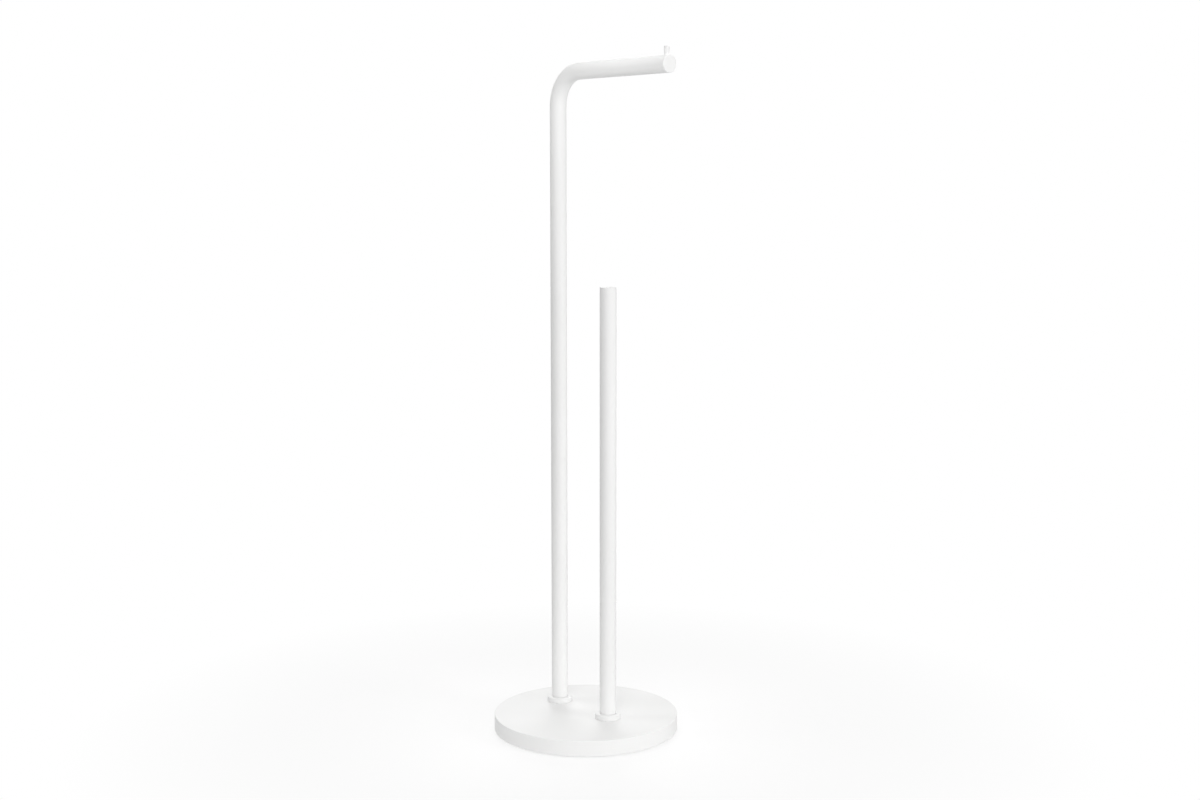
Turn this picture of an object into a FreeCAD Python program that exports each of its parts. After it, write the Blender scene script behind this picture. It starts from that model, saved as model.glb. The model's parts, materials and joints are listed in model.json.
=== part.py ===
import FreeCAD, Part
import math
import os

# A free-standing toilet roll stand. A heavy round plate carries a tall tube, whose top bends
# over into an arm for the roll in use, and a straight short tube that holds the spare rolls.
# Sizes are in millimetres. +Z is up, +X runs along the arm, and the origin lies on the floor
# under the centre of the plate.

# Base plate
base_diameter = 180.0
base_thickness = 15.0
base_top_round = 0.8
base_foot_round = 0.5

# Anti-slip pad, glued into a shallow recess under the plate
pad_diameter = 168.0
pad_recess = 1.0            # depth of the recess
pad_stand_off = 1.0         # how far the pad holds the plate off the floor
pad_fit = 0.3               # radial gap round the pad
pad_hole_margin = 1.0       # the pad's holes are wider than the bolt pockets by this all round

# Tube of both posts
tube_diameter = 16.0
tube_wall = 1.5
tube_end_chamfer = 0.2
foot_relief = 0.2           # each foot is turned down by this, radially, where it drops into its collar
foot_neck = 0.5             # and this far above the collar, which leaves a fine shadow line

# Where the posts stand
tall_post_x = -45.0
post_spacing = 74.0
post_line_y = 3.7           # both posts and the arm share one plane, a little beside the centre

# Heights above the plate, and the reach of the arm
arm_axis_height = 623.0
arm_reach = 158.0           # from the tall post's axis to the end face of the arm
bend_radius = 32.0          # on the tube's centre line
short_post_height = 420.0

# Collars: low cups that the tubes stand in
collar_wall = 4.6
collar_height = 5.0
collar_floor = 1.5
collar_fit = 0.1            # radial gap between a tube's foot and its collar
collar_top_round = 1.0
collar_foot_chamfer = 0.3

# Plugs that close the arm and the short post
plug_head = 1.0
plug_spigot = 12.0
plug_fit = 0.05             # radial gap between a plug or an insert and the tube's bore
plug_face_chamfer = 0.3

# Stop pin, which screws into the arm's plug through the wall of the tube
stop_pin_diameter = 5.0
stop_pin_rise = 8.0         # above the top of the arm
stop_pin_setback = 4.2      # from the end face of the arm to the pin's axis
stop_pin_hole_fit = 0.1
stop_pin_top_round = 0.4
stop_pin_thread = 4.0
stop_pin_thread_length = 6.0
stop_pin_drill_spare = 0.6  # the tapped hole is this much deeper than the thread

# Radial gap between any thread and its tapped hole
thread_fit = 0.05

# Threaded inserts in the feet of the posts
insert_length = 22.0
insert_chamfer = 0.5

# Bolts, one up through the plate into each insert, M6 with a low socket head
bolt_thread = 6.0
bolt_hole_fit = 0.2
bolt_engagement = 14.3      # thread inside the insert, which makes a bolt of 25 mm
bolt_tip_chamfer = 0.6
bolt_head_diameter = 10.0
bolt_head_height = 4.0
bolt_head_round = 0.4
bolt_head_sink = 0.8        # from the roof of the pad's recess up to the head
bolt_socket_flats = 4.0
bolt_socket_depth = 2.3

# Washers under each bolt's head
flat_washer_diameter = 12.0
flat_washer_bore = 6.4
flat_washer_thickness = 1.6
spring_washer_diameter = 11.8
spring_washer_bore = 6.1
spring_washer_thickness = 1.6
spring_washer_split = 1.2
spring_washer_slant = 20.0  # degrees from upright
pocket_margin = 1.0         # radial room round the washers

# Locating pin, which keeps the arm over the short post
locating_pin_diameter = 2.0
locating_pin_fit = 0.05
locating_pin_in_insert = 5.0
locating_pin_end_spare = 0.2
locating_pin_chamfer = 0.2
locating_pin_web_share = 0.6  # of the steel between the bolt's seat and the top of the plate

# Cutting tools start this far outside the face that they cut
cut_past = 2.0

# Edges are picked by their place, to within this distance
pick_tolerance = 1e-4

# Levels, from the floor up
plate_bottom = pad_stand_off
recess_roof = plate_bottom + pad_recess
plate_top = plate_bottom + base_thickness
bolt_head_bottom = recess_roof + bolt_head_sink
bolt_head_top = bolt_head_bottom + bolt_head_height
spring_washer_top = bolt_head_top + spring_washer_thickness
bolt_seat = spring_washer_top + flat_washer_thickness
collar_top = plate_top + collar_height
tube_foot = plate_top + collar_floor
insert_top = tube_foot + insert_length
bolt_tip = tube_foot + bolt_engagement
short_post_top = plate_top + short_post_height
arm_axis = plate_top + arm_axis_height

# Places along the arm
short_post_x = tall_post_x + post_spacing
arm_end = tall_post_x + arm_reach
stop_pin_x = arm_end - stop_pin_setback

# Radii
base_radius = base_diameter / 2
pad_radius = pad_diameter / 2
tube_radius = tube_diameter / 2
bore_radius = tube_radius - tube_wall
plug_radius = bore_radius - plug_fit
foot_radius = tube_radius - foot_relief
socket_radius = foot_radius + collar_fit
collar_radius = socket_radius + collar_wall
bolt_radius = bolt_thread / 2
tapped_radius = bolt_radius + thread_fit
bolt_hole_radius = bolt_radius + bolt_hole_fit
pocket_radius = max(flat_washer_diameter, spring_washer_diameter, bolt_head_diameter) / 2 + pocket_margin
pad_hole_radius = pocket_radius + pad_hole_margin
stop_pin_radius = stop_pin_diameter / 2
stop_pin_hole = stop_pin_radius + stop_pin_hole_fit
stop_pin_thread_radius = stop_pin_thread / 2
locating_pin_radius = locating_pin_diameter / 2

# The stop pin's shoulder rests where a flat of its hole's width is complete on the round plug.
stop_pin_seat = arm_axis + math.sqrt(plug_radius ** 2 - stop_pin_hole ** 2)
stop_pin_top = arm_axis + tube_radius + stop_pin_rise

# The locating pin stands in the middle of the insert's wall, on the side away from the arm.
locating_pin_x = tall_post_x - (tapped_radius + plug_radius) / 2
locating_pin_bottom = plate_top - (plate_top - bolt_seat) * locating_pin_web_share
locating_pin_top = tube_foot + locating_pin_in_insert

up = FreeCAD.Vector(0, 0, 1)


# A point on the plane that the posts and the arm share
def on_plane(x, z):
    return FreeCAD.Vector(x, post_line_y, z)


# A point on the plate's own axis
def on_axis(z):
    return FreeCAD.Vector(0, 0, z)


# A round bar between two points
def rod(radius, start, end):
    length = end - start
    return Part.makeCylinder(radius, length.Length, start, length)


# The circular edges of a shape with a given centre and radius
def rims(shape, centre, radius):
    found = []
    for edge in shape.Edges:
        curve = edge.Curve
        if not isinstance(curve, Part.Circle):
            continue
        same_radius = abs(curve.Radius - radius) < pick_tolerance
        if same_radius and curve.Center.isEqual(centre, pick_tolerance):
            found.append(edge)
    return found


def rounded(shape, size, centre, radius):
    return shape.makeFillet(size, rims(shape, centre, radius))


def chamfered(shape, size, centre, radius):
    return shape.makeChamfer(size, rims(shape, centre, radius))


# A round bar that follows the tall post, its bend and the arm
def bent_rod(radius):
    foot = on_plane(tall_post_x, tube_foot)
    bend_start = on_plane(tall_post_x, arm_axis - bend_radius)
    bend_end = on_plane(tall_post_x + bend_radius, arm_axis)
    bend_centre = on_plane(tall_post_x + bend_radius, arm_axis - bend_radius)
    bend_middle = bend_centre + FreeCAD.Vector(-1, 0, 1).normalize() * bend_radius
    tip = on_plane(arm_end - plug_head, arm_axis)
    runs = [
        Part.makeLine(foot, bend_start),
        Part.Arc(bend_start, bend_middle, bend_end).toShape(),
        Part.makeLine(bend_end, tip),
    ]
    section = Part.Wire([Part.makeCircle(radius, foot, up)])
    return Part.Wire(runs).makePipeShell([section], True, True)


def base_plate():
    plate = rod(base_radius, on_axis(plate_bottom), on_axis(plate_top))
    plate = rounded(plate, base_top_round, on_axis(plate_top), base_radius)
    plate = rounded(plate, base_foot_round, on_axis(plate_bottom), base_radius)
    plate = plate.cut(rod(pad_radius + pad_fit, on_axis(plate_bottom - cut_past), on_axis(recess_roof)))
    for x in (tall_post_x, short_post_x):
        below = on_plane(x, plate_bottom - cut_past)
        plate = plate.cut(rod(pocket_radius, below, on_plane(x, bolt_seat)))
        plate = plate.cut(rod(bolt_hole_radius, below, on_plane(x, plate_top + cut_past)))
    return plate.cut(locating_pin_hole())


def base_pad():
    pad = rod(pad_radius, on_axis(0), on_axis(recess_roof))
    for x in (tall_post_x, short_post_x):
        pad = pad.cut(rod(pad_hole_radius, on_plane(x, -cut_past), on_plane(x, recess_roof + cut_past)))
    return pad


def collar(x):
    cup = rod(collar_radius, on_plane(x, plate_top), on_plane(x, collar_top))
    cup = rounded(cup, collar_top_round, on_plane(x, collar_top), collar_radius)
    cup = chamfered(cup, collar_foot_chamfer, on_plane(x, plate_top), collar_radius)
    cup = cup.cut(rod(socket_radius, on_plane(x, tube_foot), on_plane(x, collar_top + cut_past)))
    return cup.cut(rod(bolt_hole_radius, on_plane(x, plate_top - cut_past), on_plane(x, collar_top)))


def insert(x):
    slug = rod(plug_radius, on_plane(x, tube_foot), on_plane(x, insert_top))
    slug = chamfered(slug, insert_chamfer, on_plane(x, insert_top), plug_radius)
    return slug.cut(rod(tapped_radius, on_plane(x, plate_top), on_plane(x, insert_top + cut_past)))


def bolt(x):
    shank = rod(bolt_radius, on_plane(x, bolt_head_bottom), on_plane(x, bolt_tip))
    shank = chamfered(shank, bolt_tip_chamfer, on_plane(x, bolt_tip), bolt_radius)
    head_radius = bolt_head_diameter / 2
    head = rod(head_radius, on_plane(x, bolt_head_bottom), on_plane(x, bolt_head_top))
    head = rounded(head, bolt_head_round, on_plane(x, bolt_head_bottom), head_radius)
    return head.fuse(shank).removeSplitter().cut(hex_socket(x))


# The hexagonal hole for the key, open at the bottom of a bolt's head
def hex_socket(x):
    sides = 6
    corner_radius = bolt_socket_flats / 2 / math.cos(math.pi / sides)
    mouth = on_plane(x, bolt_head_bottom - cut_past)
    corners = []
    for corner in range(sides + 1):
        angle = 2 * math.pi * corner / sides
        corners.append(mouth + FreeCAD.Vector(math.cos(angle), math.sin(angle), 0) * corner_radius)
    face = Part.Face(Part.makePolygon(corners))
    return face.extrude(up * (cut_past + bolt_socket_depth))


def flat_washer(x):
    ring = rod(flat_washer_diameter / 2, on_plane(x, spring_washer_top), on_plane(x, bolt_seat))
    return ring.cut(rod(flat_washer_bore / 2, on_plane(x, bolt_head_top), on_plane(x, bolt_seat + cut_past)))


# A spring washer pressed flat, cut through on one side by a slanted slot
def spring_washer(x):
    radius = spring_washer_diameter / 2
    ring = rod(radius, on_plane(x, bolt_head_top), on_plane(x, spring_washer_top))
    ring = ring.cut(rod(spring_washer_bore / 2, on_plane(x, bolt_head_bottom), on_plane(x, bolt_seat)))
    middle = on_plane(x, (bolt_head_top + spring_washer_top) / 2)
    slot_height = spring_washer_thickness * 3
    corner = middle - FreeCAD.Vector(0, spring_washer_split / 2, slot_height / 2)
    slot = Part.makeBox(radius + cut_past, spring_washer_split, slot_height, corner)
    slot.rotate(middle, FreeCAD.Vector(1, 0, 0), spring_washer_slant)
    return ring.cut(slot)


def locating_pin():
    start = on_plane(locating_pin_x, locating_pin_bottom)
    end = on_plane(locating_pin_x, locating_pin_top)
    pin = rod(locating_pin_radius, start, end)
    pin = chamfered(pin, locating_pin_chamfer, start, locating_pin_radius)
    return chamfered(pin, locating_pin_chamfer, end, locating_pin_radius)


def locating_pin_hole():
    start = on_plane(locating_pin_x, locating_pin_bottom)
    end = on_plane(locating_pin_x, locating_pin_top + locating_pin_end_spare)
    return rod(locating_pin_radius + locating_pin_fit, start, end)


# A plug with a thin head as wide as the tube, built on a face whose outward direction is given
def plug(face_centre, outward):
    seat = face_centre - outward * plug_head
    head = rod(tube_radius, seat, face_centre)
    head = chamfered(head, plug_face_chamfer, face_centre, tube_radius)
    head = chamfered(head, tube_end_chamfer, seat, tube_radius)
    return head.fuse(rod(plug_radius, seat - outward * plug_spigot, seat)).removeSplitter()


def arm_end_plug():
    body = plug(on_plane(arm_end, arm_axis), FreeCAD.Vector(1, 0, 0))
    spot = rod(stop_pin_hole, on_plane(stop_pin_x, stop_pin_seat), on_plane(stop_pin_x, stop_pin_top))
    drill_end = stop_pin_seat - stop_pin_thread_length - stop_pin_drill_spare
    tapped = stop_pin_thread_radius + thread_fit
    drilled = rod(tapped, on_plane(stop_pin_x, drill_end), on_plane(stop_pin_x, stop_pin_top))
    return body.cut(spot).cut(drilled)


def arm_stop_pin():
    seat = on_plane(stop_pin_x, stop_pin_seat)
    top = on_plane(stop_pin_x, stop_pin_top)
    body = rounded(rod(stop_pin_radius, seat, top), stop_pin_top_round, top, stop_pin_radius)
    thread = rod(stop_pin_thread_radius, seat - up * stop_pin_thread_length, seat)
    return body.fuse(thread).removeSplitter()


# What is turned off the outside of a post's foot
def foot_turning(x):
    foot = on_plane(x, tube_foot - cut_past)
    shoulder = on_plane(x, collar_top + foot_neck)
    return rod(collar_radius, foot, shoulder).cut(rod(foot_radius, foot, shoulder))


def tall_post_tube():
    tube = bent_rod(tube_radius)
    tube = chamfered(tube, tube_end_chamfer, on_plane(arm_end - plug_head, arm_axis), tube_radius)
    tube = tube.cut(bent_rod(bore_radius)).cut(foot_turning(tall_post_x))
    return tube.cut(rod(stop_pin_hole, on_plane(stop_pin_x, arm_axis), on_plane(stop_pin_x, stop_pin_top)))


def short_post_tube():
    foot = on_plane(short_post_x, tube_foot)
    end = on_plane(short_post_x, short_post_top - plug_head)
    tube = chamfered(rod(tube_radius, foot, end), tube_end_chamfer, end, tube_radius)
    tube = tube.cut(rod(bore_radius, foot - up * cut_past, end + up * cut_past))
    return tube.cut(foot_turning(short_post_x))


nodes = {
    "base_plate": base_plate(),
    "base_pad": base_pad(),
    "tall_post_tube": tall_post_tube(),
    "tall_post_collar": collar(tall_post_x).cut(locating_pin_hole()),
    "tall_post_insert": insert(tall_post_x).cut(locating_pin_hole()),
    "tall_post_bolt": bolt(tall_post_x),
    "tall_post_flat_washer": flat_washer(tall_post_x),
    "tall_post_spring_washer": spring_washer(tall_post_x),
    "tall_post_locating_pin": locating_pin(),
    "arm_end_plug": arm_end_plug(),
    "arm_stop_pin": arm_stop_pin(),
    "short_post_tube": short_post_tube(),
    "short_post_collar": collar(short_post_x),
    "short_post_insert": insert(short_post_x),
    "short_post_bolt": bolt(short_post_x),
    "short_post_flat_washer": flat_washer(short_post_x),
    "short_post_spring_washer": spring_washer(short_post_x),
    "short_post_top_plug": plug(on_plane(short_post_x, short_post_top), up),
}

os.makedirs("parts", exist_ok=True)
for name, shape in nodes.items():
    shape.exportStep(f"parts/{name}.step")
    print(f"{name}: {len(shape.Solids)} solid, {shape.Volume / 1000:.2f} cm3, valid {shape.isValid()}")
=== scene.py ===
import bmesh
import bpy
import json
import math
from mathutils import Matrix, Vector


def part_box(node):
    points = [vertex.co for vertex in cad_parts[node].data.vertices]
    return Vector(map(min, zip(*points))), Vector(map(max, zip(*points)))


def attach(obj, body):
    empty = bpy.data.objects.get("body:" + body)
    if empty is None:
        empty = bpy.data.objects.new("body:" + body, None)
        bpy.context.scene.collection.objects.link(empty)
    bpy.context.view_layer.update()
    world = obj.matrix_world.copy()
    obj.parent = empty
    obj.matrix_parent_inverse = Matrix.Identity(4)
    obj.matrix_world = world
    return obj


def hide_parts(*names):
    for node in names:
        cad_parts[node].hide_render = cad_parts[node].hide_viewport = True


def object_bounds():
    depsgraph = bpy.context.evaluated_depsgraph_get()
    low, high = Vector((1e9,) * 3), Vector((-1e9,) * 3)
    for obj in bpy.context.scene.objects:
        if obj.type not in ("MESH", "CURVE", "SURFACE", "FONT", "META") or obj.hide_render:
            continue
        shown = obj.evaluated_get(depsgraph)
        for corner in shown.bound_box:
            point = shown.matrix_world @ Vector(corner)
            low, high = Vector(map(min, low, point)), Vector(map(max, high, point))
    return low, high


# A white toilet roll stand on a white studio floor. Lengths are metres, in the frame of the CAD model.
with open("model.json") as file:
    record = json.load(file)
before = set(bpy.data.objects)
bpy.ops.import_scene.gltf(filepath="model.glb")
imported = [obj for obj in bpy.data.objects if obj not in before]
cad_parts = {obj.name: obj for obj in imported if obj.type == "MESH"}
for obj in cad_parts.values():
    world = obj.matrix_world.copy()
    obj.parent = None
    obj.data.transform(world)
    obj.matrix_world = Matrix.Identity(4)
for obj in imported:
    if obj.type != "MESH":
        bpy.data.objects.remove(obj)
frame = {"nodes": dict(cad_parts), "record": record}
cadLow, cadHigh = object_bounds()
nodes = frame["nodes"]
mm = 0.001
fullTurn = 2 * math.pi
print("frame loaded,", len(nodes), "nodes")


# a direction seen from the stand: azimuth 0 is the -Y side, 90 the +X side
def towards(azimuth, elevation):
    turn = math.radians(azimuth)
    rise = math.radians(elevation)
    flat = math.cos(rise)
    return Vector((math.sin(turn) * flat, -math.cos(turn) * flat, math.sin(rise)))


def lookBack(item, direction):
    item.rotation_mode = "QUATERNION"
    item.rotation_quaternion = (-direction).to_track_quat("-Z", "Y")


def addToScene(name, data):
    item = bpy.data.objects.new(name, data)
    bpy.context.scene.collection.objects.link(item)
    return item


cameraView = {
    "aim": Vector((0.0092, 0.0105, 0.3261)),
    "azimuth": 49.43,  # degrees
    "elevation": 7.295,
    "distance": 1.612,
    "lens": 50.145,  # millimetres, as the sensor
    "sensor": 36.0,
}


def buildCamera():
    data = bpy.data.cameras.new("camera")
    data.lens = cameraView["lens"]
    data.sensor_width = cameraView["sensor"]
    camera = addToScene("camera", data)
    back = towards(cameraView["azimuth"], cameraView["elevation"])
    camera.location = cameraView["aim"] + back * cameraView["distance"]
    lookBack(camera, back)
    bpy.context.scene.camera = camera


buildCamera()
print("camera placed")


# node helpers: a socket is linked, anything else is set as a plain value
def feed(tree, socket, value):
    if isinstance(value, bpy.types.NodeSocket):
        tree.links.new(value, socket)
    else:
        socket.default_value = value


def newNode(tree, kind, inputs=None, **settings):
    node = tree.nodes.new(kind)
    for name, value in settings.items():
        setattr(node, name, value)
    for name, value in (inputs or {}).items():
        feed(tree, node.inputs[name], value)
    return node


def mathNode(tree, operation, first, second):
    return newNode(tree, "ShaderNodeMath", {0: first, 1: second}, operation=operation).outputs[0]


def opaque(colour):
    return (*colour, 1.0)


def mixColours(tree, factor, first, second):
    node = newNode(tree, "ShaderNodeMix", {0: factor}, data_type="RGBA")
    for socket, colour in ((node.inputs[6], first), (node.inputs[7], second)):  # its two colour sockets
        feed(tree, socket, opaque(colour) if isinstance(colour, tuple) else colour)
    return node.outputs[2]  # the mixed colour


fullRange = (0.0, 1.0)


def remap(tree, value, source, target):
    limits = {
        "Value": value,
        "From Min": source[0],
        "From Max": source[1],
        "To Min": target[0],
        "To Max": target[1],
    }
    return newNode(tree, "ShaderNodeMapRange", limits).outputs["Result"]


def objectPoint(tree):
    return newNode(tree, "ShaderNodeTexCoord").outputs["Object"]


def noiseAt(tree, scale, detail):
    inputs = {"Vector": objectPoint(tree), "Scale": scale, "Detail": detail}
    return newNode(tree, "ShaderNodeTexNoise", inputs).outputs["Fac"]


def bumpFrom(tree, height, depth, under=None):
    bump = newNode(tree, "ShaderNodeBump", {"Height": height, "Distance": depth})
    if under:
        feed(tree, bump.inputs["Normal"], under)
    return bump.outputs["Normal"]


def newGroup(name, inputs, outputs):
    tree = bpy.data.node_groups.new(name, "ShaderNodeTree")
    for label, value in inputs.items():
        socket = tree.interface.new_socket(label, in_out="INPUT", socket_type="NodeSocketFloat")
        socket.default_value = value
    for label in outputs:
        tree.interface.new_socket(label, in_out="OUTPUT", socket_type="NodeSocketFloat")
    return tree, tree.nodes.new("NodeGroupInput"), tree.nodes.new("NodeGroupOutput")


def placeGroup(tree, group, **inputs):
    node = tree.nodes.new("ShaderNodeGroup")
    node.node_tree = group
    for label, value in inputs.items():
        feed(tree, node.inputs[label], value)
    return node.outputs


# fine grain: the specks and dimples of a finish, with the size of one grain in millimetres
grainEffect = {
    "inputs": {"Size": 0.5, "Detail": 2.0},
    "maskSpan": (0.3, 0.7),  # the part of the noise that the mask spreads from 0 to 1
}


def buildFineGrain():
    tree, given, result = newGroup("fineGrain", grainEffect["inputs"], ("Mask", "Height"))
    scale = mathNode(tree, "DIVIDE", 1 / mm, given.outputs["Size"])
    noise = noiseAt(tree, scale, given.outputs["Detail"])
    feed(tree, result.inputs["Mask"], remap(tree, noise, grainEffect["maskSpan"], fullRange))
    feed(tree, result.inputs["Height"], noise)
    return tree


# soft patches: slow drifts over a surface, where a finish went on thicker or was handled
patchEffect = {
    "inputs": {"Size": 60.0, "Sharpness": 1.0},  # size in millimetres
    "detail": 1.5,
    "middle": 0.5,  # the noise's own mean
    "maskSpan": (-0.2, 0.2),
}


def buildSoftPatches():
    tree, given, result = newGroup("softPatches", patchEffect["inputs"], ("Mask",))
    scale = mathNode(tree, "DIVIDE", 1 / mm, given.outputs["Size"])
    centred = mathNode(tree, "SUBTRACT", noiseAt(tree, scale, patchEffect["detail"]), patchEffect["middle"])
    sharpened = mathNode(tree, "MULTIPLY", centred, given.outputs["Sharpness"])
    feed(tree, result.inputs["Mask"], remap(tree, sharpened, patchEffect["maskSpan"], fullRange))
    return tree


# edge mask: 1 along the outer edges of a piece, 0 on its faces, broken up a little. It lays wear along the
# edges of the foam and the zinc, and a painted highlight along the edges of the powder coat
edgeWearAndHighlightEffect = {
    "inputs": {"Width": 0.6, "Breakup": 0.3},  # width in millimetres
    "samples": 6,
    "facing": (0.995, 0.93),  # cosine between the softened and the true normal, on a face and on an edge
    "breakupScale": 180.0,
    "breakupDetail": 2.0,
}


def buildEdgeWearAndHighlight():
    tree, given, result = newGroup("edgeWearAndHighlight", edgeWearAndHighlightEffect["inputs"], ("Mask",))
    radius = mathNode(tree, "MULTIPLY", given.outputs["Width"], mm)
    bevel = newNode(tree, "ShaderNodeBevel", {"Radius": radius}, samples=edgeWearAndHighlightEffect["samples"])
    real = newNode(tree, "ShaderNodeNewGeometry").outputs["Normal"]
    normals = {0: bevel.outputs["Normal"], 1: real}
    facing = newNode(tree, "ShaderNodeVectorMath", normals, operation="DOT_PRODUCT")
    edge = remap(tree, facing.outputs["Value"], edgeWearAndHighlightEffect["facing"], fullRange)
    specks = noiseAt(tree, edgeWearAndHighlightEffect["breakupScale"], edgeWearAndHighlightEffect["breakupDetail"])
    breakup = mathNode(tree, "MULTIPLY", specks, given.outputs["Breakup"])
    broken = newNode(tree, "ShaderNodeMath", {0: edge, 1: breakup}, operation="SUBTRACT", use_clamp=True)
    feed(tree, result.inputs["Mask"], broken.outputs[0])
    return tree


fineGrain = buildFineGrain()
softPatches = buildSoftPatches()
edgeWearAndHighlight = buildEdgeWearAndHighlight()
print("shared effects built")


# finishes: sizes and widths are millimetres, as the shared effects take them, and depths are metres
def newMaterial(name):
    material = bpy.data.materials.new(name)
    material.use_nodes = True
    tree = material.node_tree
    return material, tree, tree.nodes["Principled BSDF"]


# matt white powder coat: orange peel under a fine grain, a little drift in tone and gloss, and a painted
# highlight: a lighter tone along every edge
powderCoat = {
    "tone": (0.868, 0.868, 0.864),
    "driftTone": (0.848, 0.848, 0.842),
    # painted highlight: the lighter tone laid along the edges
    "edgeTone": (0.885, 0.885, 0.883),
    "driftSize": 70.0,
    "peelSize": 1.8,
    "peelDetail": 1.0,
    "peelDepth": 0.05 * mm,
    "grainSize": 0.4,
    "grainDetail": 3.0,
    "grainDepth": 0.02 * mm,
    "edgeWidth": 0.5,
    "edgeBreakup": 0.4,
    "roughness": (0.6, 0.7),
    "driftShare": 0.6,  # of the spread in roughness, the grain has the rest
    "grainShare": 0.4,
    "edgePolish": -0.06,
    "specular": 0.12,
}


def buildPowderCoat():
    material, tree, shader = newMaterial("whitePowderCoat")
    drift = placeGroup(tree, softPatches, Size=powderCoat["driftSize"])["Mask"]
    peel = placeGroup(tree, fineGrain, Size=powderCoat["peelSize"], Detail=powderCoat["peelDetail"])
    grain = placeGroup(tree, fineGrain, Size=powderCoat["grainSize"], Detail=powderCoat["grainDetail"])
    # the edge mask, used here to place a painted highlight along the edges
    rubAndHighlight = placeGroup(tree, edgeWearAndHighlight, Width=powderCoat["edgeWidth"], Breakup=powderCoat["edgeBreakup"])
    edge = rubAndHighlight["Mask"]
    clouded = mixColours(tree, drift, powderCoat["tone"], powderCoat["driftTone"])
    # painted highlight: the edges are mixed towards the lighter edge tone
    feed(tree, shader.inputs["Base Color"], mixColours(tree, edge, clouded, powderCoat["edgeTone"]))
    slow = mathNode(tree, "MULTIPLY", drift, powderCoat["driftShare"])
    fast = mathNode(tree, "MULTIPLY", grain["Mask"], powderCoat["grainShare"])
    gloss = remap(tree, mathNode(tree, "ADD", slow, fast), fullRange, powderCoat["roughness"])
    polish = mathNode(tree, "MULTIPLY", edge, powderCoat["edgePolish"])
    feed(tree, shader.inputs["Roughness"], mathNode(tree, "ADD", gloss, polish))
    peeled = bumpFrom(tree, peel["Height"], powderCoat["peelDepth"])
    feed(tree, shader.inputs["Normal"], bumpFrom(tree, grain["Height"], powderCoat["grainDepth"], peeled))
    shader.inputs["Specular IOR Level"].default_value = powderCoat["specular"]
    return material


# closed-cell foam rubber: a skin of small cells, paler where the floor has rubbed it
padFoam = {
    "tone": (0.045, 0.045, 0.047),
    "cellTone": (0.075, 0.075, 0.077),
    "rubTone": (0.11, 0.11, 0.11),
    "cellSize": 0.9,
    "cellDepth": 0.12 * mm,
    "grainSize": 0.4,
    "grainDetail": 3.0,
    "grainShare": 0.4,  # how high the grain stands beside the cells
    "rubSize": 38.0,
    "rubSharpness": 1.4,
    "edgeWidth": 0.8,
    "edgeBreakup": 0.5,
    "faceRub": 0.5,  # how worn the faces are beside the edges
    "wear": 0.6,
    "roughness": (0.8, 0.95),
    "specular": 0.25,
}


def buildPadFoam():
    material, tree, shader = newMaterial("padFoam")
    cellScale = 1 / (padFoam["cellSize"] * mm)
    cells = newNode(tree, "ShaderNodeTexVoronoi", {"Vector": objectPoint(tree), "Scale": cellScale})
    wall = cells.outputs["Distance"]
    rubAndHighlight = placeGroup(tree, softPatches, Size=padFoam["rubSize"], Sharpness=padFoam["rubSharpness"])["Mask"]
    grain = placeGroup(tree, fineGrain, Size=padFoam["grainSize"], Detail=padFoam["grainDetail"])
    edge = placeGroup(tree, edgeWearAndHighlight, Width=padFoam["edgeWidth"], Breakup=padFoam["edgeBreakup"])["Mask"]
    celled = mixColours(tree, wall, padFoam["tone"], padFoam["cellTone"])
    rubbed = mathNode(tree, "MAXIMUM", mathNode(tree, "MULTIPLY", rubAndHighlight, padFoam["faceRub"]), edge)
    worn = mathNode(tree, "MULTIPLY", rubbed, padFoam["wear"])
    feed(tree, shader.inputs["Base Color"], mixColours(tree, worn, celled, padFoam["rubTone"]))
    feed(tree, shader.inputs["Roughness"], remap(tree, grain["Mask"], fullRange, padFoam["roughness"]))
    height = mathNode(tree, "ADD", wall, mathNode(tree, "MULTIPLY", grain["Height"], padFoam["grainShare"]))
    feed(tree, shader.inputs["Normal"], bumpFrom(tree, height, padFoam["cellDepth"]))
    shader.inputs["Specular IOR Level"].default_value = padFoam["specular"]
    return material


# bright zinc plate: bluish metal with faint straw patches and a fine crystalline grain
zincPlate = {
    "tone": (0.68, 0.70, 0.73),
    "strawTone": (0.72, 0.70, 0.62),
    "edgeTone": (0.82, 0.83, 0.84),
    "patchSize": 6.0,
    "patchSharpness": 1.6,
    "strawShare": 0.5,
    "grainSize": 0.25,
    "grainDetail": 3.0,
    "grainDepth": 0.006 * mm,
    "edgeWidth": 0.3,
    "edgeBreakup": 0.4,
    "roughness": (0.24, 0.40),
}


def buildZincPlate():
    material, tree, shader = newMaterial("zincPlate")
    patches = placeGroup(
        tree, softPatches, Size=zincPlate["patchSize"], Sharpness=zincPlate["patchSharpness"]
    )
    grain = placeGroup(tree, fineGrain, Size=zincPlate["grainSize"], Detail=zincPlate["grainDetail"])
    rubAndHighlight = placeGroup(tree, edgeWearAndHighlight, Width=zincPlate["edgeWidth"], Breakup=zincPlate["edgeBreakup"])
    straw = mathNode(tree, "MULTIPLY", patches["Mask"], zincPlate["strawShare"])
    tinted = mixColours(tree, straw, zincPlate["tone"], zincPlate["strawTone"])
    feed(tree, shader.inputs["Base Color"], mixColours(tree, rubAndHighlight["Mask"], tinted, zincPlate["edgeTone"]))
    feed(tree, shader.inputs["Roughness"], remap(tree, grain["Mask"], fullRange, zincPlate["roughness"]))
    feed(tree, shader.inputs["Normal"], bumpFrom(tree, grain["Height"], zincPlate["grainDepth"]))
    shader.inputs["Metallic"].default_value = 1.0
    return material


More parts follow.
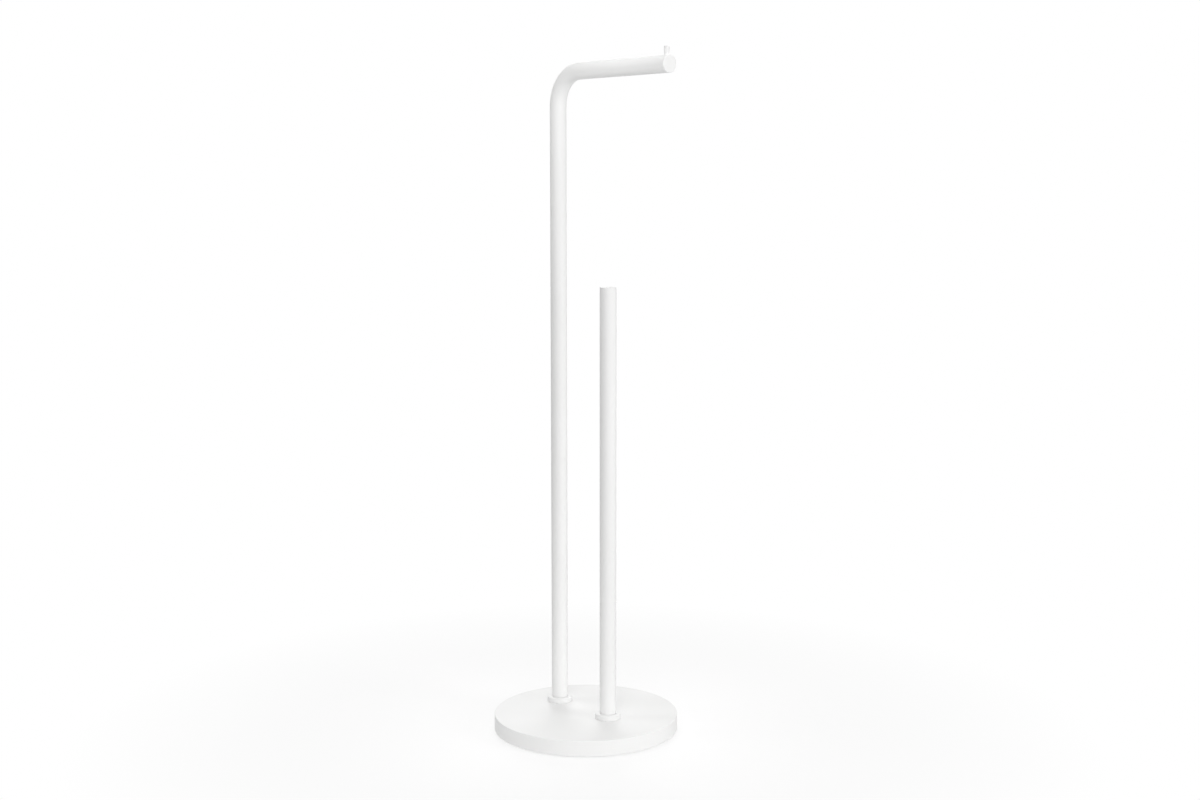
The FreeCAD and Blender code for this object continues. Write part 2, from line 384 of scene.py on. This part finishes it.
# plain turned steel: fine feed marks from the lathe, dulled in patches
turnedSteel = {
    "tone": (0.56, 0.56, 0.57),
    "dullTone": (0.46, 0.45, 0.44),
    "feedMark": 0.3 * mm,  # from one mark of the tool to the next
    "feedDepth": 0.008 * mm,
    "feedWander": 0.4,
    "feedDetail": 1.0,
    "patchSize": 8.0,
    "patchSharpness": 1.3,
    "grainSize": 0.2,
    "grainDetail": 2.0,
    "roughness": (0.30, 0.48),
}
waveLength = fullTurn / 20  # of the wave texture at scale 1


def buildTurnedSteel():
    material, tree, shader = newMaterial("turnedSteel")
    waves = {
        "Vector": objectPoint(tree),
        "Scale": waveLength / turnedSteel["feedMark"],
        "Distortion": turnedSteel["feedWander"],
        "Detail": turnedSteel["feedDetail"],
    }
    marks = newNode(tree, "ShaderNodeTexWave", waves, bands_direction="Z")
    patches = placeGroup(
        tree, softPatches, Size=turnedSteel["patchSize"], Sharpness=turnedSteel["patchSharpness"]
    )
    grain = placeGroup(tree, fineGrain, Size=turnedSteel["grainSize"], Detail=turnedSteel["grainDetail"])
    tarnished = mixColours(tree, patches["Mask"], turnedSteel["tone"], turnedSteel["dullTone"])
    feed(tree, shader.inputs["Base Color"], tarnished)
    feed(tree, shader.inputs["Roughness"], remap(tree, grain["Mask"], fullRange, turnedSteel["roughness"]))
    feed(tree, shader.inputs["Normal"], bumpFrom(tree, marks.outputs["Fac"], turnedSteel["feedDepth"]))
    shader.inputs["Metallic"].default_value = 1.0
    return material


finishes = {
    "white_powder_coat": buildPowderCoat(),
    "pad_foam": buildPadFoam(),
    "zinc_plate": buildZincPlate(),
    "plain_steel": buildTurnedSteel(),
}
for subpart in frame["record"]["subparts"]:
    mesh = nodes[subpart["node"]].data
    mesh.materials.clear()
    mesh.materials.append(finishes[subpart["material_slot"]])
print("finishes given to the CAD nodes")

quarterTurn = 90  # degrees
creaseAngle = math.radians(35)  # edges that turn by more stay crisp


def ringAt(middle, radius, height, sides):
    ring = []
    for side in range(sides):
        angle = fullTurn * side / sides
        reach = radius(angle) if callable(radius) else radius
        ring.append((middle.x + reach * math.cos(angle), middle.y + reach * math.sin(angle), height))
    return ring


# a skin runs over rings of points; a ring of one point closes an end
def skinRings(name, rings, closed=False):
    points, faces, starts = [], [], []
    for ring in rings:
        starts.append(len(points))
        points.extend(ring)
    sides = max(len(ring) for ring in rings)
    for low in range(len(rings) if closed else len(rings) - 1):
        high = (low + 1) % len(rings)
        for side in range(sides):
            corners = []
            for row, step in ((low, side), (low, side + 1), (high, side + 1), (high, side)):
                corners.append(starts[row] + step % len(rings[row]))
            faces.append(list(dict.fromkeys(corners)))
    mesh = bpy.data.meshes.new(name)
    mesh.from_pydata(points, [], faces)
    return mesh


# points round a quarter of a circle, from a start in degrees: 0 is outwards, 90 is up
def quarter(middleR, middleZ, radius, start, steps):
    arc = []
    for step in range(steps + 1):
        angle = math.radians(start + quarterTurn * step / steps)
        arc.append((middleR + radius * math.cos(angle), middleZ + radius * math.sin(angle)))
    return arc


def addPiece(name, mesh, slot, node):
    mesh.materials.append(finishes[slot])
    mesh.shade_smooth()
    mesh.set_sharp_from_angle(angle=creaseAngle)
    piece = addToScene(name, mesh)
    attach(piece, "root")
    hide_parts(node)
    return piece


# anti-slip pad: a die-cut disc of foam with a hole round each bolt
pad = {
    "holeRadius": 8.0 * mm,
    "footRound": 0.45 * mm,
    "topRound": 0.2 * mm,
    "roundSteps": 4,
    "sides": 160,
    "holeSides": 48,
    "fill": 0.9,
}


# the rings of one wall from the floor up; outward is 1 for the rim, -1 for a hole
def padWall(middle, radius, outward, low, high, sides):
    foot = pad["footRound"]
    top = pad["topRound"]
    wall = quarter(radius - foot, low + foot, foot, -quarterTurn, pad["roundSteps"])
    wall += quarter(radius - top, high - top, top, 0, pad["roundSteps"])
    return [ringAt(middle, radius + outward * (reach - radius), height, sides) for reach, height in wall]


def buildPad():
    low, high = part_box("base_pad")
    walls = [padWall((low + high) / 2, (high.x - low.x) / 2, 1, low.z, high.z, pad["sides"])]
    for node in ("tall_post_bolt", "short_post_bolt"):
        boltLow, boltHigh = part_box(node)
        middle = (boltLow + boltHigh) / 2
        walls.append(padWall(middle, pad["holeRadius"], -1, low.z, high.z, pad["holeSides"]))
    foam = bmesh.new()
    rims = ([], [])
    for wall in walls:
        rows = [[foam.verts.new(point) for point in ring] for ring in wall]
        for lower, upper in zip(rows, rows[1:]):
            for side in range(len(lower)):
                foam.faces.new((lower[side - 1], lower[side], upper[side], upper[side - 1]))
        for rim, row in zip(rims, (rows[0], rows[-1])):
            rim.extend(foam.edges.get((row[side - 1], row[side])) for side in range(len(row)))
    for rim in rims:
        bmesh.ops.triangle_fill(foam, edges=rim, use_beauty=True)
    bmesh.ops.recalc_face_normals(foam, faces=foam.faces)
    mesh = bpy.data.meshes.new("base_pad_foam")
    foam.to_mesh(mesh)
    foam.free()
    piece = addPiece("base_pad_foam", mesh, "pad_foam", "base_pad")


# low-head socket bolt with a rolled thread, screwed up from under the base
bolt = {
    "columns": 60,  # a multiple of 6, so that the socket's corners fall on points
    "headHeight": 4.0 * mm,
    "headRound": 0.4 * mm,
    "seatEdge": 0.15 * mm,
    "roundSteps": 5,
    "socketFlats": 4.0 * mm,
    "socketDepth": 2.3 * mm,
    "drillPoint": 0.6 * mm,
    "mouthHeight": 0.3 * mm,
    "mouthRadius": 2.4 * mm,
    "threadRadius": 3.0 * mm,
    "threadDepth": 0.61 * mm,
    "pitch": 1.0 * mm,
    "halfCrest": 1 / 16,  # shares of the pitch, here and in the next line
    "flank": 5 / 16,
    "rowsPerTurn": 10,
    "neck": 0.5 * mm,
    "runIn": 1.0 * mm,
    "tipChamfer": 0.6 * mm,
}


def clamped(value):
    return max(0.0, min(1.0, value))


def socketReach(angle):
    sixth = fullTurn / 6
    return bolt["socketFlats"] / 2 / math.cos(angle % sixth - sixth / 2)


# a right-hand thread: a narrow crest and a wider root, deepening past the plain neck
def threadReach(angle, rise, length):
    phase = (rise / bolt["pitch"] - angle / fullTurn) % 1.0
    fromCrest = min(phase, 1.0 - phase)
    down = clamped((fromCrest - bolt["halfCrest"]) / bolt["flank"])
    cut = down * clamped((rise - bolt["neck"]) / bolt["runIn"])
    reach = bolt["threadRadius"] - bolt["threadDepth"] * cut
    return min(reach, bolt["threadRadius"] - bolt["tipChamfer"] + length - rise)


def buildBolt(node):
    low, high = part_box(node)
    middle = (low + high) / 2
    headRadius = (high.x - low.x) / 2
    seat = low.z + bolt["headHeight"]
    length = high.z - seat
    columns = bolt["columns"]
    socketEnd = low.z + bolt["socketDepth"]
    edge = bolt["headRound"]
    rings = [[(middle.x, middle.y, socketEnd + bolt["drillPoint"])]]
    rings.append(ringAt(middle, socketReach, socketEnd, columns))
    rings.append(ringAt(middle, socketReach, low.z + bolt["mouthHeight"], columns))
    rings.append(ringAt(middle, bolt["mouthRadius"], low.z, columns))
    profile = quarter(headRadius - edge, low.z + edge, edge, -quarterTurn, bolt["roundSteps"])
    profile.append((headRadius, seat - bolt["seatEdge"]))
    profile.append((headRadius - bolt["seatEdge"], seat))
    rings += [ringAt(middle, reach, height, columns) for reach, height in profile]
    rows = round(length / bolt["pitch"] * bolt["rowsPerTurn"])
    for row in range(rows + 1):
        rise = length * row / rows
        rings.append(ringAt(middle, lambda angle: threadReach(angle, rise, length), seat + rise, columns))
    rings.append([(middle.x, middle.y, high.z)])
    addPiece(node + "_threaded", skinRings(node + "_threaded", rings), "zinc_plate", node)


# stamped flat washers, and spring washers cut through at a slant and pressed flat by the bolts
washers = {
    "sides": 72,
    "flatBore": 6.4 * mm,
    "flatEdge": 0.25 * mm,
    "springBore": 6.1 * mm,
    "springEdge": 0.2 * mm,
    "edgeSteps": 3,
    "split": 1.2 * mm,
    "slant": 20.0,  # degrees
}


# a section with rounded corners, from its lower outer corner up and round
def washerSection(bore, low, high, edge):
    inner = bore / 2 + edge
    outer = (high.x - low.x) / 2 - edge
    section = []
    corners = ((outer, low.z + edge), (outer, high.z - edge), (inner, high.z - edge), (inner, low.z + edge))
    for turn, (reach, height) in enumerate(corners):
        section += quarter(reach, height, edge, quarterTurn * (turn - 1), washers["edgeSteps"])
    return section


def buildFlatWasher(node):
    low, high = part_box(node)
    section = washerSection(washers["flatBore"], low, high, washers["flatEdge"])
    rings = [ringAt((low + high) / 2, reach, height, washers["sides"]) for reach, height in section]
    addPiece(node + "_stamped", skinRings(node + "_stamped", rings, closed=True), "zinc_plate", node)


def buildSpringWasher(node):
    low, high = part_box(node)
    middle = (low + high) / 2
    section = washerSection(washers["springBore"], low, high, washers["springEdge"])
    section.reverse()  # the skin runs round the bolt here, so the section turns the other way
    lean = math.tan(math.radians(washers["slant"]))
    rings = []
    for side in range(washers["sides"] + 1):
        share = side / washers["sides"]
        ring = []
        for reach, height in section:
            cut = -(height - middle.z) * lean
            first = math.asin((cut + washers["split"] / 2) / reach)
            last = fullTurn + math.asin((cut - washers["split"] / 2) / reach)
            angle = first + (last - first) * share
            ring.append((middle.x + reach * math.cos(angle), middle.y + reach * math.sin(angle), height))
        rings.append(ring)
    ends = []
    for ring in (rings[0], rings[-1]):
        ends.append([tuple(sum(point[axis] for point in ring) / len(ring) for axis in range(3))])
    rings = [ends[0], *rings, ends[1]]
    addPiece(node + "_split", skinRings(node + "_split", rings), "zinc_plate", node)


buildPad()
for post in ("tall_post", "short_post"):
    buildBolt(post + "_bolt")
    buildFlatWasher(post + "_flat_washer")
    buildSpringWasher(post + "_spring_washer")
print("pad, bolts and washers built")


# studio: a white sweep that hides its own horizon and keeps the stand's soft shadow
studio = {
    "floorSize": 4.0,
    "floorSides": 96,
    "floorDrop": 0.2 * mm,
    "paperTone": (0.8, 0.8, 0.8),  # a sheet of pale paper round the stand
    "paperRoughness": 0.9,
    "paperSpecular": 0.1,
    "roomTone": (0.25, 0.25, 0.25),  # what the light meets past the paper
    "paperEdge": (0.35, 1.0),  # distances from the middle, where the paper starts to go and has gone
    "shadowShare": 0.45,  # how much of the floor's own shading the camera sees beside the stand
    "shadowFade": (0.15, 0.5),  # distances from the middle over which that goes
    "backdrop": 1.0,  # plain white
    "ambient": 0.53,
}
softLamps = {  # wide far lamps: degrees round the stand, degrees up, degrees across, strength
    "keyFront": (60.0, 10.0, 50.0, 0.925),
    "overhead": (49.4, 89.0, 40.0, 0.36),
    "backGlow": (229.4, 22.0, 40.0, 0.74),
    "underGlow": (49.4, -89.0, 40.0, 0.932),  # under the floor, also for looks from below
}
baseMiddle = Vector((0.0, 0.0, 0.01))
gridLamps = {  # near soft boxes with a grid, each on its own stretch of the stand
    "keyRight": {
        "aim": Vector((0.0, 0.0, 0.45)),
        "azimuth": 109.4,
        "elevation": 10.0,
        "distance": 2.0,
        "size": 0.8,
        "spread": 40.0,
        "watts": 0.9,
    },
    "armLamp": {
        "aim": Vector((0.02, 0.0, 0.64)),
        "azimuth": 0.0,
        "elevation": 18.0,
        "distance": 0.9,
        "size": 0.3,
        "spread": 34.0,
        "watts": 0.077,
    },
    "armFill": {
        "aim": Vector((0.055, 0.0, 0.64)),
        "azimuth": 28.0,
        "elevation": 30.0,
        "distance": 0.6,
        "size": 0.12,
        "spread": 16.0,
        "watts": 0.01,
    },
    "baseLeft": {
        "aim": baseMiddle,
        "azimuth": -40.6,
        "elevation": 60.0,
        "distance": 1.2,
        "size": 0.4,
        "spread": 16.0,
        "watts": 0.03,
    },
    "baseFront": {
        "aim": baseMiddle,
        "azimuth": 40.0,
        "elevation": 60.0,
        "distance": 1.2,
        "size": 0.3,
        "spread": 16.0,
        "watts": 0.02,
    },
    "baseBack": {
        "aim": baseMiddle,
        "azimuth": 229.4,
        "elevation": 60.0,
        "distance": 1.2,
        "size": 0.4,
        "spread": 16.0,
        "watts": 0.033,
    },
}
plainWhite = (1.0, 1.0, 1.0, 1.0)


# 1 for rays that show the background: straight from the camera, mirrored or through glass
def backdropRays(tree):
    path = newNode(tree, "ShaderNodeLightPath").outputs
    mirrored = mathNode(tree, "MAXIMUM", path["Is Camera Ray"], path["Is Glossy Ray"])
    return mathNode(tree, "MAXIMUM", mirrored, path["Is Transmission Ray"])


# 1 where the floor lets light and looks through: for any lamp's light, and seen from below
def throughFloor(tree):
    shadow = newNode(tree, "ShaderNodeLightPath").outputs["Is Shadow Ray"]
    below = newNode(tree, "ShaderNodeNewGeometry").outputs["Backfacing"]
    return mathNode(tree, "MAXIMUM", shadow, below)


def mixShaders(tree, factor, first, second):
    inputs = {0: factor, 1: first.outputs[0], 2: second.outputs[0]}
    return newNode(tree, "ShaderNodeMixShader", inputs)


def buildWorld():
    world = bpy.data.worlds.new("studioWorld")
    world.use_nodes = True
    tree = world.node_tree
    light = tree.nodes["Background"]
    light.inputs["Color"].default_value = plainWhite
    light.inputs["Strength"].default_value = studio["ambient"]
    white = newNode(tree, "ShaderNodeBackground", {"Color": plainWhite, "Strength": studio["backdrop"]})
    mixed = mixShaders(tree, backdropRays(tree), light, white)
    feed(tree, tree.nodes["World Output"].inputs["Surface"], mixed.outputs[0])
    bpy.context.scene.world = world


def buildFloorMaterial():
    material, tree, bounce = newMaterial("floorPaper")
    bounce.inputs["Roughness"].default_value = studio["paperRoughness"]
    bounce.inputs["Specular IOR Level"].default_value = studio["paperSpecular"]
    length = newNode(tree, "ShaderNodeVectorMath", {0: objectPoint(tree)}, operation="LENGTH")
    reach = length.outputs["Value"]
    past = remap(tree, reach, studio["paperEdge"], fullRange)
    feed(tree, bounce.inputs["Base Color"], mixColours(tree, past, studio["paperTone"], studio["roomTone"]))
    share = remap(tree, reach, studio["shadowFade"], (studio["shadowShare"], 0.0))
    shaded = newNode(tree, "ShaderNodeBsdfDiffuse", {"Color": plainWhite})
    white = newNode(tree, "ShaderNodeEmission", {"Color": plainWhite, "Strength": studio["backdrop"]})
    shown = mixShaders(tree, share, white, shaded)
    top = mixShaders(tree, backdropRays(tree), bounce, shown)
    both = mixShaders(tree, throughFloor(tree), top, newNode(tree, "ShaderNodeBsdfTransparent"))
    feed(tree, tree.nodes["Material Output"].inputs["Surface"], both.outputs[0])
    return material


def buildFloor():
    centre = Vector((0.0, 0.0, 0.0))
    rim = ringAt(centre, studio["floorSize"], 0.0, studio["floorSides"])
    mesh = skinRings("studioFloor", [rim, [tuple(centre)]])
    mesh.materials.append(buildFloorMaterial())
    floor = addToScene("studioFloor", mesh)
    floor.location.z = cadLow.z - studio["floorDrop"]


def buildSoftLamps():
    for name, (azimuth, elevation, across, strength) in softLamps.items():
        data = bpy.data.lights.new(name, "SUN")
        data.angle = math.radians(across)
        data.energy = strength
        lookBack(addToScene(name, data), towards(azimuth, elevation))


def buildGridLamps():
    for name, box in gridLamps.items():
        data = bpy.data.lights.new(name, "AREA")
        data.size = box["size"]
        data.spread = math.radians(box["spread"])
        data.energy = box["watts"]
        lamp = addToScene(name, data)
        back = towards(box["azimuth"], box["elevation"])
        lamp.location = box["aim"] + back * box["distance"]
        lookBack(lamp, back)
        lamp.visible_camera = False


buildWorld()
buildFloor()
buildSoftLamps()
buildGridLamps()
bpy.context.scene.view_settings.view_transform = "Standard"
print("studio lit")
